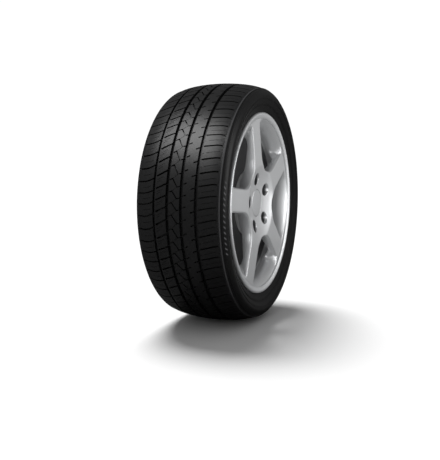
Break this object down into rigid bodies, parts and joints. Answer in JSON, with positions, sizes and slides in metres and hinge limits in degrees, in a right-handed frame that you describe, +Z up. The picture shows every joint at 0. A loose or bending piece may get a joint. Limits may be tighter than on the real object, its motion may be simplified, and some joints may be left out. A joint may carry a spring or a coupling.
{
  "type": "car tyre on its alloy wheel",
  "caption": "Low-profile road tyre with a grooved asymmetric tread, seated on a flat-faced spoked alloy wheel with bolt sockets and a flush centre cap.",
  "frame": {"origin": "centre of the wheel's face that bolts to the hub, on the axle", "axes": "+Y along the axle towards the car, -Y out to the visible side, +Z up, with the tyre standing on its tread"},
  "size_m": [0.58, 0.213, 0.5785],
  "materials": {
    "tyre": "matte black rubber",
    "wheel": "silver paint with a satin sheen",
    "centre_cap": "silver paint, plain",
    "cap_ring": "spring wire",
    "valve_body": "satin",
    "valve_tube": "turned brass",
    "valve_core": "turned brass",
    "valve_cap": "moulded plastic"
  },
  "bodies": {
    "root": {"tyre": "tyre", "wheel": "wheel", "centre_cap": "centre_cap", "cap_ring": "cap_ring", "valve_body": "valve_body", "valve_tube": "valve_tube", "valve_core": "valve_core", "valve_cap": "valve_cap"}
  },
  "joints": []
}
